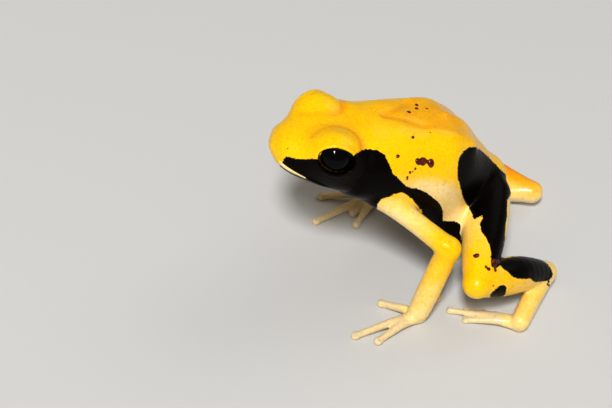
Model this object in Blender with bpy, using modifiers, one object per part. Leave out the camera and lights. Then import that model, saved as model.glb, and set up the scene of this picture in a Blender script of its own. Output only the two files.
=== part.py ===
"""A poison dart frog at life size, sitting up on its arms, as a still display model.

Metres, +Z up. The snout points along -Y and the left side is +X. The soles and palms rest on z = 0.
The whole animal is modelled as one skin, and thin cuts then part it into its named limbs.
"""

import math

import bmesh
import bpy
from mathutils import Euler, Matrix, Vector

MM = 0.001
GAP = 0.3 * MM

# Trunk and head, in millimetres. The trunk's own frame has its origin between the hips.
PELVIS = (0.0, 9.6, 14.8)
TRUNK_PITCH = -18.7
NECK = (0.0, -24.7, 1.2)
HEAD_TURN = (6.9, 2.0, -8.0)

# Each station: place along the trunk, half width, top, bottom, squareness of the section.
TRUNK = (
    (3.6, 1.2, 0.2, -1.8, 2.0),
    (2.8, 2.6, 1.0, -3.2, 2.0),
    (1.0, 3.8, 1.6, -4.8, 2.0),
    (-2.0, 4.9, 2.8, -7.6, 2.05),
    (-5.0, 5.9, 4.5, -9.8, 2.15),
    (-9.0, 7.3, 7.4, -10.4, 2.35),
    (-13.0, 8.2, 8.2, -9.4, 2.4),
    (-19.0, 8.1, 7.5, -7.8, 2.3),
    (-24.0, 7.3, 6.1, -5.8, 2.3),
    (-28.0, 6.6, 4.7, -4.6, 2.2),
)
HEAD = (
    (5.0, 6.4, 4.2, -5.8, 2.2),
    (1.0, 7.2, 4.4, -5.8, 2.3),
    (-2.5, 7.2, 4.1, -5.6, 2.4),
    (-5.8, 6.4, 3.5, -5.3, 2.4),
    (-8.8, 5.2, 2.6, -4.6, 2.4),
    (-11.0, 4.1, 1.7, -4.0, 2.3),
    (-12.4, 2.9, 0.9, -3.3, 2.2),
    (-13.1, 1.2, -0.3, -2.1, 2.0),
)
# The belly's soft sides: place in the trunk's frame and radii.
BELLY_PLACE = (4.3, -6.4, -7.8)
BELLY_RADII = (4.0, 4.6, 3.9)
SECTION_SIDES = 40
SECTION_MIDDLE = 0.45

# Eyes, in the head's frame.
EYE_PLACE = (4.7, -5.6, 1.5)
EYE_RADIUS = 2.7
EYE_AIM = (12.0, 14.0)
EYE_OPENING = (2.6, 1.9)
LID_THICKNESS = 0.5
BROW_STRETCH = 1.12

# Limbs: joint places (x outwards from the middle plane) and the flesh's radius along each.
LEFT_ARM = {
    "shoulder": (6.0, -12.2, 18.6),
    "elbow": (13.4, -3.9, 13.2),
    "wrist": (13.5, -6.7, 2.2),
}
RIGHT_ARM = {
    "shoulder": (6.0, -12.0, 18.8),
    "elbow": (12.8, -4.4, 12.4),
    "wrist": (12.9, -0.5, 2.2),
}
LEFT_LEG = {
    "hip": (4.0, 8.0, 12.9),
    "knee": (17.4, -0.6, 9.1),
    "ankle": (12.2, 15.1, 2.7),
    "heel": (19.6, 6.9, 1.7),
}
RIGHT_LEG = {
    "hip": (4.0, 8.8, 12.9),
    "knee": (19.2, 12.0, 4.2),
    "ankle": (4.9, 22.3, 2.9),
    "heel": (9.4, 12.2, 1.7),
}
UPPER_ARM = (2.0, 1.7, 1.6, 1.6, 1.7)
FOREARM = (1.7, 1.78, 1.78, 1.75, 1.65)
THIGH = (3.1, 3.3, 3.15, 2.75, 2.15)
SHANK = (2.1, 2.3, 2.2, 1.95, 1.85)
# The left calf is folded hard and bulges upwards: how much thicker and higher along the shank.
LEFT_CALF = (0.0, 0.35, 0.6, 0.45, 0.0)
TARSUS = (1.75, 1.65, 1.55, 1.55, 1.5)

# Digits: where each tip lies, from the wrist or the heel, and the disc at its end.
LEFT_FINGERS = ((-3.2, 5.0), (-4.5, -3.7), (0.5, -10.3), (2.5, -7.6))
RIGHT_FINGERS = ((-2.2, -5.2), (-4.7, -5.9), (-2.3, -11.6), (2.9, -8.3))
LEFT_TOES = ((-3.3, -1.9), (-4.4, -3.6), (-5.6, -5.7), (-6.3, -8.1), (-3.8, -6.8))
RIGHT_TOES = ((-1.8, -3.4), (-1.4, -5.8), (0.4, -8.4), (2.8, -9.8), (4.2, -7.2))
FINGER_RADIUS = 0.58
TOE_RADIUS = 0.5
DISC_WIDTH = 1.2
PALM_HEIGHT = 1.1
KNUCKLE = (0.45, 0.35)
DIGIT_TAPER = (1.7, 1.2, 0.97)
TIP_HEIGHT = 0.85

# The fused skin: size of its voxels, rounds of softening, triangles left.
VOXEL = 0.25
RELAX_ROUNDS = 5
SKIN_FACES = 9000

# Cuts through the skin, in the head's frame, and the holes of the nose.
NECK_CUT = (0.0, 2.5, -1.5)
NECK_REACH = 13.0
NOSTRIL = (3.2, -11.7, -0.75)
NOSTRIL_RADIUS = 0.35
MOUTH_CUT = (0.0, 2.7, -5.2)
MOUTH_RISE = -13.0
MOUTH_REACH = (11.0, 18.0)

# Cuts across the limbs: where along the bone, how far out, and which way the body's own faces look.
SHOULDER_CUT = (0.48, 4.6)
SHOULDER_FACE = (1.0, 0.35, -0.2)
HIP_CUT = (0.38, 6.2)
HIP_FACE = (1.0, -0.15, -0.1)
ELBOW_REACH = 3.4
WRIST_CUT = (0.88, 3.0)
KNEE_REACH = 8.0
ANKLE_REACH = 7.6
HEEL_CUT = (0.84, 3.0)

# Colour and roughness of each piece, found by a word in its name.
FINISHES = {
    "head": ((0.95, 0.50, 0.02), 0.3),
    "jaw": ((0.02, 0.02, 0.02), 0.3),
    "torso": ((0.95, 0.55, 0.03), 0.3),
    "arm": ((0.90, 0.62, 0.12), 0.3),
    "thigh": ((0.93, 0.58, 0.06), 0.3),
    "shank": ((0.90, 0.62, 0.12), 0.3),
    "tarsus": ((0.90, 0.62, 0.12), 0.3),
    "hand": ((0.86, 0.74, 0.42), 0.35),
    "foot": ((0.86, 0.74, 0.42), 0.35),
    "eye": ((0.01, 0.01, 0.01), 0.05),
}


def material(name, colour, roughness):
    m = bpy.data.materials.new(name)
    m.use_nodes = True
    shader = m.node_tree.nodes["Principled BSDF"]
    shader.inputs["Base Color"].default_value = (*colour, 1.0)
    shader.inputs["Roughness"].default_value = roughness
    shader.inputs["Metallic"].default_value = 0.0
    m.diffuse_color = (*colour, 1.0)
    return m


def new_object(name, mesh, collection):
    ob = bpy.data.objects.new(name, mesh)
    collection.objects.link(ob)
    return ob


def baked(ob):
    """The object's evaluated mesh in world space, as a new mesh."""
    bpy.context.view_layer.update()
    evaluated = ob.evaluated_get(bpy.context.evaluated_depsgraph_get())
    mesh = bpy.data.meshes.new_from_object(evaluated)
    mesh.transform(ob.matrix_world)
    return mesh


def joined(objects, name, collection):
    """One object with every mesh of the list in it; the list's own objects go."""
    bm = bmesh.new()
    for ob in objects:
        bm.from_mesh(baked(ob))
        bpy.data.objects.remove(ob)
    bmesh.ops.remove_doubles(bm, verts=bm.verts, dist=0.00001)
    mesh = bpy.data.meshes.new(name)
    bm.to_mesh(mesh)
    bm.free()
    return new_object(name, mesh, collection)


def trunk_matrix():
    turn = Euler((math.radians(TRUNK_PITCH), 0.0, 0.0)).to_matrix().to_4x4()
    turn.translation = Vector(PELVIS) * MM
    return turn


def head_matrix():
    turn = Euler([math.radians(a) for a in HEAD_TURN]).to_matrix().to_4x4()
    turn.translation = Vector(NECK) * MM
    return trunk_matrix() @ turn


def ring(bm, station):
    """One cross-section: a superellipse whose upper and lower halves have their own heights."""
    place, half_width, top, bottom, power = station
    middle = SECTION_MIDDLE * top + (1 - SECTION_MIDDLE) * bottom
    verts = []
    for i in range(SECTION_SIDES):
        angle = 2 * math.pi * i / SECTION_SIDES
        c, s = math.cos(angle), math.sin(angle)
        x = math.copysign(abs(c) ** (2 / power), c) * half_width
        height = top - middle if s > 0 else middle - bottom
        z = middle + math.copysign(abs(s) ** (2 / power), s) * height
        verts.append(bm.verts.new((x * MM, place * MM, z * MM)))
    return verts


def loft(name, stations, matrix, collection):
    """A closed skin through unlike cross-sections, softened by one subdivision."""
    bm = bmesh.new()
    rings = [ring(bm, station) for station in stations]
    for a, b in zip(rings, rings[1:]):
        for i in range(SECTION_SIDES):
            j = (i + 1) % SECTION_SIDES
            bm.faces.new((a[i], a[j], b[j], b[i]))
    bm.faces.new(rings[0])
    bm.faces.new(rings[-1])
    bmesh.ops.recalc_face_normals(bm, faces=bm.faces)
    mesh = bpy.data.meshes.new(name)
    bm.to_mesh(mesh)
    bm.free()
    ob = new_object(name, mesh, collection)
    ob.matrix_world = matrix
    smooth = ob.modifiers.new("round", "SUBSURF")
    smooth.levels = smooth.render_levels = 1
    return ob


def tube(name, points, radii, collection, sides=4):
    """A limb's length of flesh: a tapered tube along a smooth line, with domed ends."""
    curve = bpy.data.curves.new(name, "CURVE")
    curve.dimensions = "3D"
    curve.bevel_depth = MM
    curve.bevel_resolution = sides
    curve.use_fill_caps = True
    curve.resolution_u = 4
    spline = curve.splines.new("BEZIER")
    spline.bezier_points.add(len(points) - 1)
    for bp, place, radius in zip(spline.bezier_points, points, radii):
        bp.co = Vector(place) * MM
        bp.radius = radius
        bp.handle_left_type = bp.handle_right_type = "AUTO"
    ob = new_object(name, curve, collection)
    pieces = [new_object(name + "_skin", baked(ob), collection)]
    bpy.data.objects.remove(ob)
    for place, radius in ((points[0], radii[0]), (points[-1], radii[-1])):
        pieces.append(ball(name + "_end", place, (radius,) * 3, collection))
    return pieces


def ball(name, place, radii, collection, matrix=None, segments=24):
    """An ellipsoid, in millimetres, in the frame of the given matrix."""
    mesh = bpy.data.meshes.new(name)
    bm = bmesh.new()
    bmesh.ops.create_uvsphere(bm, u_segments=segments, v_segments=segments // 2, radius=MM)
    bmesh.ops.scale(bm, vec=radii, verts=bm.verts)
    bmesh.ops.translate(bm, vec=Vector(place) * MM, verts=bm.verts)
    bm.to_mesh(mesh)
    bm.free()
    ob = new_object(name, mesh, collection)
    if matrix is not None:
        ob.matrix_world = matrix
    return ob


def along(a, b, count):
    return [Vector(a).lerp(Vector(b), i / (count - 1)) for i in range(count)]


def mirrored(limb, side):
    """The limb's joints, with x outwards turned to world x for the given side."""
    return {joint: Vector((side * p[0], p[1], p[2])) for joint, p in limb.items()}


def slab(name, centre, normal, reach, collection):
    """A thin round cutter across a limb."""
    mesh = bpy.data.meshes.new(name)
    bm = bmesh.new()
    bmesh.ops.create_cone(bm, cap_ends=True, segments=24, radius1=reach * MM, radius2=reach * MM, depth=GAP)
    bm.to_mesh(mesh)
    bm.free()
    ob = new_object(name, mesh, collection)
    ob.rotation_mode = "QUATERNION"
    ob.rotation_quaternion = Vector(normal).to_track_quat("Z", "Y")
    ob.location = Vector(centre) * MM
    ob.hide_render = True
    ob.display_type = "WIRE"
    return ob


def box(name, low, high, collection):
    mesh = bpy.data.meshes.new(name)
    bm = bmesh.new()
    bmesh.ops.create_cube(bm, size=1.0)
    size = Vector(high) - Vector(low)
    bmesh.ops.scale(bm, vec=size * MM, verts=bm.verts)
    bmesh.ops.translate(bm, vec=(Vector(high) + Vector(low)) * 0.5 * MM, verts=bm.verts)
    bm.to_mesh(mesh)
    bm.free()
    ob = new_object(name, mesh, collection)
    ob.hide_render = True
    ob.display_type = "WIRE"
    return ob


def mouth_cut(head_frame, work):
    """The thin cut that parts the lower jaw, from the snout back to the neck's cut."""
    half_width, length = MOUTH_REACH
    half_gap = 0.5 * GAP / MM
    ob = box("cut_mouth", (-half_width, -length, -half_gap), (half_width, 0.0, half_gap), work)
    rise = Euler((math.radians(MOUTH_RISE), 0.0, 0.0)).to_matrix().to_4x4()
    rise.translation = Vector(MOUTH_CUT) * MM
    ob.matrix_world = head_frame @ rise
    return ob


def cut(ob, cutter):
    step = ob.modifiers.new(cutter.name, "BOOLEAN")
    step.operation = "DIFFERENCE"
    step.object = cutter
    settled(ob)


def settled(ob):
    """Applies the object's modifiers."""
    bpy.context.view_layer.update()
    evaluated = ob.evaluated_get(bpy.context.evaluated_depsgraph_get())
    mesh = bpy.data.meshes.new_from_object(evaluated)
    ob.modifiers.clear()
    ob.data = mesh


def fuse(ob):
    """One closed skin over everything in the object, smoothed and then thinned."""
    remesh = ob.modifiers.new("fuse", "REMESH")
    remesh.mode = "VOXEL"
    remesh.voxel_size = VOXEL * MM
    relax = ob.modifiers.new("relax", "SMOOTH")
    relax.factor = 0.5
    relax.iterations = RELAX_ROUNDS
    settled(ob)
    ob.data.calc_loop_triangles()
    thin = ob.modifiers.new("thin", "DECIMATE")
    thin.ratio = SKIN_FACES / len(ob.data.loop_triangles)
    thin.use_collapse_triangulate = True
    settled(ob)


def islands(ob):
    """The object's separate closed skins, each as a list of vertex indices."""
    bm = bmesh.new()
    bm.from_mesh(ob.data)
    bm.verts.ensure_lookup_table()
    seen = set()
    found = []
    for vert in bm.verts:
        if vert.index in seen:
            continue
        stack, group = [vert], []
        seen.add(vert.index)
        while stack:
            v = stack.pop()
            group.append(v.index)
            for edge in v.link_edges:
                other = edge.other_vert(v)
                if other.index not in seen:
                    seen.add(other.index)
                    stack.append(other)
        found.append(group)
    bm.free()
    return found


def kept(ob, group):
    """A mesh with only this island of the object."""
    keep = set(group)
    bm = bmesh.new()
    bm.from_mesh(ob.data)
    bm.verts.ensure_lookup_table()
    bmesh.ops.delete(bm, geom=[v for v in bm.verts if v.index not in keep], context="VERTS")
    bmesh.ops.triangulate(bm, faces=bm.faces)
    mesh = bpy.data.meshes.new("piece")
    bm.to_mesh(mesh)
    bm.free()
    return mesh


def opening(centre, axis, work):
    """The cutter of an eye's opening: a short oval bar out along the eye's axis."""
    bar = slab("cut_lids", centre + axis * EYE_RADIUS, axis, 1.0, work)
    length = 2.0 * EYE_RADIUS
    bar.rotation_quaternion = axis.to_track_quat("Z", "Y")
    bar.scale = (EYE_OPENING[0], EYE_OPENING[1], length * MM / GAP)
    return bar


def finish(ob):
    """The piece's own material and smooth shading."""
    for word, (colour, roughness) in FINISHES.items():
        if word in ob.name:
            ob.data.materials.clear()
            ob.data.materials.append(material(ob.name, colour, roughness))
    ob.data.shade_smooth()


def digits(name, side, root, tips, radius, work):
    """Fingers or toes: each runs out over its knuckle and along the floor to a small round disc."""
    pieces = []
    for i, (dx, dy) in enumerate(tips):
        tip = Vector((root.x + side * dx, root.y + dy, radius * TIP_HEIGHT))
        start = Vector((root.x, root.y, PALM_HEIGHT))
        bend = start.lerp(tip, KNUCKLE[0]) + Vector((0.0, 0.0, KNUCKLE[1]))
        widths = [radius * share for share in DIGIT_TAPER]
        pieces += tube(f"{name}_{i}", (start, bend, tip), widths, work, 3)
        disc = radius * DISC_WIDTH
        pieces.append(ball(f"{name}_{i}_disc", tip, (disc, disc, radius), work, None, 16))
    return pieces


def eye_line(side, head_frame):
    """The eye's centre in millimetres and the way it looks, in world coordinates."""
    centre = Vector((side * EYE_PLACE[0], EYE_PLACE[1], EYE_PLACE[2]))
    up, forward = (math.radians(a) for a in EYE_AIM)
    axis = Vector((side * math.cos(forward), -math.sin(forward), math.tan(up))).normalized()
    return head_frame @ (centre * MM) / MM, head_frame.to_3x3() @ axis


def flesh(limbs, head_frame, work):
    """Everything soft, fused into one skin."""
    pieces = [
        loft("trunk", TRUNK, trunk_matrix(), work),
        loft("skull", HEAD, head_frame, work),
    ]
    brow = EYE_RADIUS + LID_THICKNESS
    for side, limb in limbs.items():
        centre = Vector((side * EYE_PLACE[0], EYE_PLACE[1], EYE_PLACE[2]))
        pieces.append(ball("brow", centre, (brow, brow * BROW_STRETCH, brow), work, head_frame))
        low_side = Vector((side * BELLY_PLACE[0], BELLY_PLACE[1], BELLY_PLACE[2]))
        pieces.append(ball("belly", low_side, BELLY_RADII, work, trunk_matrix()))
        runs = (
            ("shoulder", "elbow", UPPER_ARM),
            ("elbow", "wrist", FOREARM),
            ("hip", "knee", THIGH),
            ("knee", "ankle", SHANK),
            ("ankle", "heel", TARSUS),
        )
        for start, end, radii in runs:
            path = along(limb[start], limb[end], len(radii))
            if side > 0 and start == "knee":
                path = [place + Vector((0.0, 0.0, extra)) for place, extra in zip(path, LEFT_CALF)]
                radii = [radius + extra for radius, extra in zip(radii, LEFT_CALF)]
            pieces += tube(start, path, radii, work)
        pieces += digits("finger", side, limb["wrist"], limb["fingers"], FINGER_RADIUS, work)
        pieces += digits("toe", side, limb["heel"], limb["toes"], TOE_RADIUS, work)
    body = joined(pieces, "body", work)
    fuse(body)
    return body


def limb_cuts(side, limb, work):
    """The thin cuts across one side's limbs, and a point inside each piece that they leave."""
    word = "left" if side > 0 else "right"

    def across(name, start, end, share, reach):
        bone = limb[end] - limb[start]
        return slab(name, limb[start] + bone * share, bone, reach, work)

    def at_joint(name, start, joint, end, reach):
        fold = (limb[joint] - limb[start]).normalized() + (limb[end] - limb[joint]).normalized()
        return slab(name, limb[joint], fold, reach, work)

    def face(direction):
        return Vector((side * direction[0], direction[1], direction[2]))

    shoulder = limb["shoulder"].lerp(limb["elbow"], SHOULDER_CUT[0])
    hip = limb["hip"].lerp(limb["knee"], HIP_CUT[0])
    cuts = [
        slab("cut_shoulder", shoulder, face(SHOULDER_FACE), SHOULDER_CUT[1], work),
        at_joint("cut_elbow", "shoulder", "elbow", "wrist", ELBOW_REACH),
        across("cut_wrist", "elbow", "wrist", *WRIST_CUT),
        slab("cut_hip", hip, face(HIP_FACE), HIP_CUT[1], work),
        at_joint("cut_knee", "hip", "knee", "ankle", KNEE_REACH),
        at_joint("cut_ankle", "knee", "ankle", "heel", ANKLE_REACH),
        across("cut_heel", "ankle", "heel", *HEEL_CUT),
    ]
    marks = {
        "upper_arm_" + word: limb["shoulder"].lerp(limb["elbow"], 0.7),
        "forearm_" + word: limb["elbow"].lerp(limb["wrist"], 0.5),
        "hand_" + word: limb["wrist"] + Vector((0.0, 0.0, -1.0)),
        "thigh_" + word: limb["hip"].lerp(limb["knee"], 0.65),
        "shank_" + word: limb["knee"].lerp(limb["ankle"], 0.5),
        "tarsus_" + word: limb["ankle"].lerp(limb["heel"], 0.5),
        "foot_" + word: limb["heel"],
    }
    return cuts, marks


def nearest(body, groups, mark):
    """The island whose skin lies closest to the mark."""
    verts = body.data.vertices
    return min(groups, key=lambda group: min((verts[i].co - mark).length for i in group))


def set_on_origin(model):
    """Moves every piece so that the animal's box stands centred on the origin, on z = 0."""
    pieces = list(model.objects)
    places = [vert.co for ob in pieces for vert in ob.data.vertices]
    low = Vector([min(p[i] for p in places) for i in range(3)])
    high = Vector([max(p[i] for p in places) for i in range(3)])
    shift = Vector((-0.5 * (low.x + high.x), -0.5 * (low.y + high.y), -low.z))
    for ob in pieces:
        ob.data.transform(Matrix.Translation(shift))


def main():
    for ob in list(bpy.data.objects):
        bpy.data.objects.remove(ob)
    model = bpy.data.collections.new("poison_dart_frog")
    work = bpy.data.collections.new("cutters")
    for collection in (model, work):
        bpy.context.scene.collection.children.link(collection)
    head_frame = head_matrix()
    limbs = {}
    for side, arm, leg, fingers, toes in (
        (1, LEFT_ARM, LEFT_LEG, LEFT_FINGERS, LEFT_TOES),
        (-1, RIGHT_ARM, RIGHT_LEG, RIGHT_FINGERS, RIGHT_TOES),
    ):
        limbs[side] = {**mirrored(arm, side), **mirrored(leg, side), "fingers": fingers, "toes": toes}
    body = flesh(limbs, head_frame, work)

    neck = head_frame @ (Vector(NECK_CUT) * MM) / MM
    cuts = [
        slab("cut_neck", neck, head_frame.to_3x3() @ Vector((0.0, 1.0, 0.0)), NECK_REACH, work),
        mouth_cut(head_frame, work),
    ]
    marks = {
        "torso": trunk_matrix() @ (Vector((0.0, -12.0, 0.0)) * MM) / MM,
        "head": head_frame @ (Vector((0.0, -6.0, 0.0)) * MM) / MM,
        "lower_jaw": head_frame @ (Vector((0.0, -6.0, -4.6)) * MM) / MM,
    }
    for side, limb in limbs.items():
        more_cuts, more_marks = limb_cuts(side, limb, work)
        cuts += more_cuts
        marks.update(more_marks)
        centre, axis = eye_line(side, head_frame)
        cuts.append(ball("cut_socket", centre, (EYE_RADIUS + GAP / MM,) * 3, work))
        cuts.append(opening(centre, axis, work))
        nostril = head_frame @ (Vector((side * NOSTRIL[0], NOSTRIL[1], NOSTRIL[2])) * MM) / MM
        cuts.append(ball("cut_nostril", nostril, (NOSTRIL_RADIUS,) * 3, work, None, 10))
    cuts.append(box("floor", (-60, -60, -20), (60, 60, 0), work))
    for cutter in cuts:
        cutter.hide_render = True
        cutter.display_type = "WIRE"
        cut(body, cutter)

    groups = islands(body)
    for name, mark in marks.items():
        piece = new_object(name, kept(body, nearest(body, groups, mark * MM)), model)
        finish(piece)
    bpy.data.objects.remove(body)
    for side, word in ((1, "left"), (-1, "right")):
        centre, axis = eye_line(side, head_frame)
        finish(ball("eye_" + word, centre, (EYE_RADIUS,) * 3, model))
    set_on_origin(model)


main()
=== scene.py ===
# A yellow and black poison dart frog: one moist skin, wet black eyes, specks of damp earth and the
# small scutes on its digits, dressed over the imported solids. Lengths are millimetres unless said otherwise.
import math

import bmesh
import bpy
import numpy as np
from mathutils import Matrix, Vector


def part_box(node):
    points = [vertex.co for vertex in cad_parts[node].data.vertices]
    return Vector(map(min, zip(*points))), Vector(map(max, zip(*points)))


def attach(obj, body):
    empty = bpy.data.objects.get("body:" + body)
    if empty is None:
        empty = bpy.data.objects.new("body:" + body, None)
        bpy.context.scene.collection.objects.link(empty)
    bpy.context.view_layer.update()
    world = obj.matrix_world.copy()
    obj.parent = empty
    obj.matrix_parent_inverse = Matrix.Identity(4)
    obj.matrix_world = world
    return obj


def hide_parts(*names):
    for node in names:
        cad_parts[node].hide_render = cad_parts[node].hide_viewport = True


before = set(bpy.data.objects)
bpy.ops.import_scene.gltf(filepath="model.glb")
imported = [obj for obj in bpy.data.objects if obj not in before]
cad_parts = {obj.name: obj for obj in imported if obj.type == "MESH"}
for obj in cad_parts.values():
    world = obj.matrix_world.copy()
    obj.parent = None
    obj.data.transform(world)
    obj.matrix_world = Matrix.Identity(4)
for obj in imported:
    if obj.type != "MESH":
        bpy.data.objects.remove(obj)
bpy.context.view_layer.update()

import openvdb
from mathutils import Euler, Matrix, Vector

mm = 0.001


# The pose of the solids; the left upper arm lies up to 0.6 mm higher, as the photo shows it

pose = {
    "pelvis": (0.0, 9.6, 14.8),
    "trunkPitch": -18.7,
    "neck": (0.0, -24.7, 1.2),
    "headTurn": (6.9, 2.0, -8.0),
    "eyePlace": (4.7, -5.6, 1.5),
    "eyeRadius": 2.7,
    "eyeAim": (12.0, 14.0),       # degrees up and forward from straight out
    "leftArm": {"shoulder": (5.9, -11.8, 19.0), "elbow": (13.4, -3.8, 13.3), "wrist": (13.5, -6.7, 2.2)},
    "rightArm": {"shoulder": (6.0, -12.0, 18.8), "elbow": (12.8, -4.4, 12.4), "wrist": (12.9, -0.5, 2.2)},
    "leftLeg": {"hip": (4.0, 8.0, 12.9), "knee": (17.4, -0.6, 9.1), "ankle": (12.2, 15.1, 2.7),
                "heel": (19.6, 6.9, 1.7)},
    "rightLeg": {"hip": (4.0, 8.8, 12.9), "knee": (19.2, 12.0, 4.2), "ankle": (4.9, 22.3, 2.9),
                 "heel": (9.4, 12.2, 1.7)},
    "leftFingers": ((-3.2, 5.0), (-4.5, -3.7), (0.5, -10.3), (2.5, -7.6)),
    "rightFingers": ((-2.2, -5.2), (-4.7, -5.9), (-2.3, -11.6), (2.9, -8.3)),
    "leftToes": ((-3.3, -1.9), (-4.4, -3.6), (-5.6, -5.7), (-6.3, -8.1), (-3.8, -6.8)),
    "rightToes": ((-1.8, -3.4), (-1.4, -5.8), (0.4, -8.4), (2.8, -9.8), (4.2, -7.2)),
}
sideWord = {1: "left", -1: "right"}


def turned(degrees):
    return Euler([math.radians(a) for a in degrees]).to_matrix().to_4x4()


def frameAt(place, degrees, parent=Matrix.Identity(4)):
    m = turned(degrees)
    m.translation = Vector(place)
    return parent @ m


trunkFrame = frameAt(pose["pelvis"], (pose["trunkPitch"], 0, 0))
headFrame = frameAt(pose["neck"], pose["headTurn"], trunkFrame)


def axesFrame(x, y, z, place):
    m = Matrix((x, y, z)).transposed().to_4x4()
    m.translation = place
    return m


def onSide(place, side):
    return Vector((side * place[0], place[1], place[2]))


def eyeCentre(side):
    return headFrame @ onSide(pose["eyePlace"], side)


def eyeAxis(side):
    up, forward = (math.radians(a) for a in pose["eyeAim"])
    out = Vector((side * math.cos(forward), -math.sin(forward), math.tan(up))).normalized()
    return (headFrame.to_3x3() @ out).normalized()


eyeLow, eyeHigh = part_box("eye_left")
planShift = (eyeLow + eyeHigh) / 2 - eyeCentre(1) * mm     # metres, from the plan to the solids' frame


# The flesh as one smooth field: negative inside, zero on the skin

flesh = {
    # place along the part, half width, top, bottom, squareness
    "trunk": ((3.6, 1.2, 0.2, -1.8, 2.0), (2.8, 2.6, 1.0, -3.2, 2.0), (1.0, 3.8, 1.6, -4.8, 2.0),
              (-2.0, 4.9, 2.75, -7.6, 2.05), (-5.0, 5.9, 4.45, -9.6, 2.15), (-9.0, 7.3, 7.3, -10.2, 2.35),
              (-13.0, 8.2, 8.2, -9.2, 2.4), (-19.0, 8.1, 7.5, -7.6, 2.3), (-24.0, 7.3, 6.1, -5.5, 2.3),
              (-28.0, 6.6, 4.7, -4.4, 2.2)),
    "skull": ((10.0, 2.0, 0.5, -3.0, 2.0), (7.5, 4.6, 2.8, -4.4, 2.1), (5.0, 6.4, 4.2, -5.6, 2.2),
              (1.0, 7.2, 4.4, -5.5, 2.3), (-2.5, 7.2, 4.1, -5.4, 2.4),
              (-5.8, 6.4, 3.6, -5.2, 2.4), (-8.8, 5.2, 2.6, -4.6, 2.4), (-11.0, 4.1, 1.7, -4.0, 2.3),
              (-12.4, 3.05, 1.0, -3.3, 2.2), (-13.05, 1.4, -0.2, -2.1, 2.0)),
    "upperArm": (1.95, 1.65, 1.52, 1.54, 1.62),
    "forearm": (1.62, 1.7, 1.72, 1.7, 1.6),
    "thigh": (3.1, 3.3, 3.15, 2.7, 1.93),
    "shank": (1.93, 2.25, 2.2, 1.88, 1.66),
    "leftCalf": (0.0, 0.35, 0.6, 0.45, 0.0),     # thicker and higher along the folded shank
    "tarsus": (1.6, 1.6, 1.5, 1.48, 1.41),
    "fingerRadius": 0.55,
    "toeRadius": 0.47,
    "brow": (3.12, 3.45, 3.16),
    "belly": ((4.3, -6.2, -7.8), (3.8, 4.4, 3.7)),      # place and radii of its soft sides
    "bodyBlend": 2.6,
    "browBlend": 2.7,
    "shoulderBlend": 1.1,
    "hipBlend": 1.3,
    "jointBlend": 0.7,
    "digitBlend": 0.5,
    "reach": 3.4,                  # beyond this a lump no longer bends its neighbours
    "softness": 0.9,               # along a loft, over which its stations melt into each other
}
digitForm = {
    "rootHeight": 1.1,
    "tipHeight": 0.85,             # this and the next two are shares of the digit's radius
    "taper": (1.7, 1.4, 1.2, 1.0, 0.95),
    "disc": 1.2,
    "bendAt": 0.45,                # share of the way to the tip
    "bendRise": 0.35,
    "midway": 0.55,
}
farAway = 4.0
veryFar = 1e9
partNames = ["trunk", "head", "arm_left", "arm_right", "leg_left", "leg_right"]


def smoothMin(a, b, k):
    h = np.clip(0.5 + 0.5 * (b - a) / k, 0.0, 1.0)
    return b + (a - b) * h - k * h * (1.0 - h)


def moved(points, matrix):
    m = np.array(matrix)
    return points @ m[:3, :3].T + m[:3, 3]


def segmentDistance(points, a, b):
    # squared distance to the line from a to b, and the share of it where the nearest place lies
    along = b - a
    t = np.clip((points - a) @ along / max(along @ along, 1e-9), 0.0, 1.0)
    return ((points - a - t[:, None] * along) ** 2).sum(1), t


def within(points, low, high):
    return np.flatnonzero(np.all((points > low) & (points < high), axis=1))


def curveBetween(a, b, c, d, u):
    # the Catmull-Rom curve from b to c
    square, cube = 2 * a - 5 * b + 4 * c - d, 3 * b - a - 3 * c + d
    return 0.5 * (2 * b + (c - a) * u + square * u * u + cube * u ** 3)


def profile(stations):
    # the stations' curves, read finely and softened, so that no ring shows in the skin
    softness = flesh["softness"]
    places = np.array([s[0] for s in stations])[::-1]
    fine = np.linspace(places[0], places[-1], 240)
    step = fine[1] - fine[0]
    reach = max(1, int(3 * softness / step))
    weights = np.exp(-0.5 * (np.arange(-reach, reach + 1) * step / softness) ** 2)
    weights /= weights.sum()
    curves = []
    for column in range(1, 5):
        values = np.interp(fine, places, np.array([s[column] for s in stations])[::-1])
        start = 2 * values[0] - values[reach:0:-1]
        end = 2 * values[-1] - values[-2:-reach - 2:-1]
        curves.append(np.convolve(np.concatenate([start, values, end]), weights, "valid"))
    return fine, curves


def loftLump(part, stations, matrix, blend, capFront, capBack):
    # a body of changing sections; each end closes as half an ellipse over its cap length
    fine, curves = profile(stations)
    inverse = matrix.inverted()
    low, high = fine[0], fine[-1]
    corners = [matrix @ Vector((x, y, z)) for x in (-9, 9) for y in (low, high) for z in (-11, 9)]

    def distance(points):
        p = moved(points, inverse)
        y = np.clip(p[:, 1], low, high)
        width, top, bottom, power = (np.interp(y, fine, c) for c in curves)
        closing = np.ones(len(p))
        for edge, cap, sign in ((low, capFront, 1), (high, capBack, -1)):
            depth = np.clip(sign * (y - edge) / cap, 0.0, 1.0)
            closing *= np.sqrt(np.clip(1 - (1 - depth) ** 2, 1e-4, 1.0))
        middle = 0.45 * top + 0.55 * bottom
        dz = p[:, 2] - middle
        height = np.where(dz > 0, top - middle, middle - bottom)
        ratio = (np.abs(p[:, 0] / width) ** power + np.abs(dz / height) ** power) ** (1 / power) / closing
        radial = np.hypot(p[:, 0], dz)
        inside = radial * (1 - 1 / np.maximum(ratio, 1e-3))
        inside = np.where(ratio < 1e-2, -np.minimum(width, height) * closing, inside)
        beyond = np.abs(p[:, 1] - y)
        return np.where(beyond > 0, np.hypot(np.maximum(inside, 0), beyond), inside)

    return makeLump(part, corners, 0.0, distance, blend)


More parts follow.
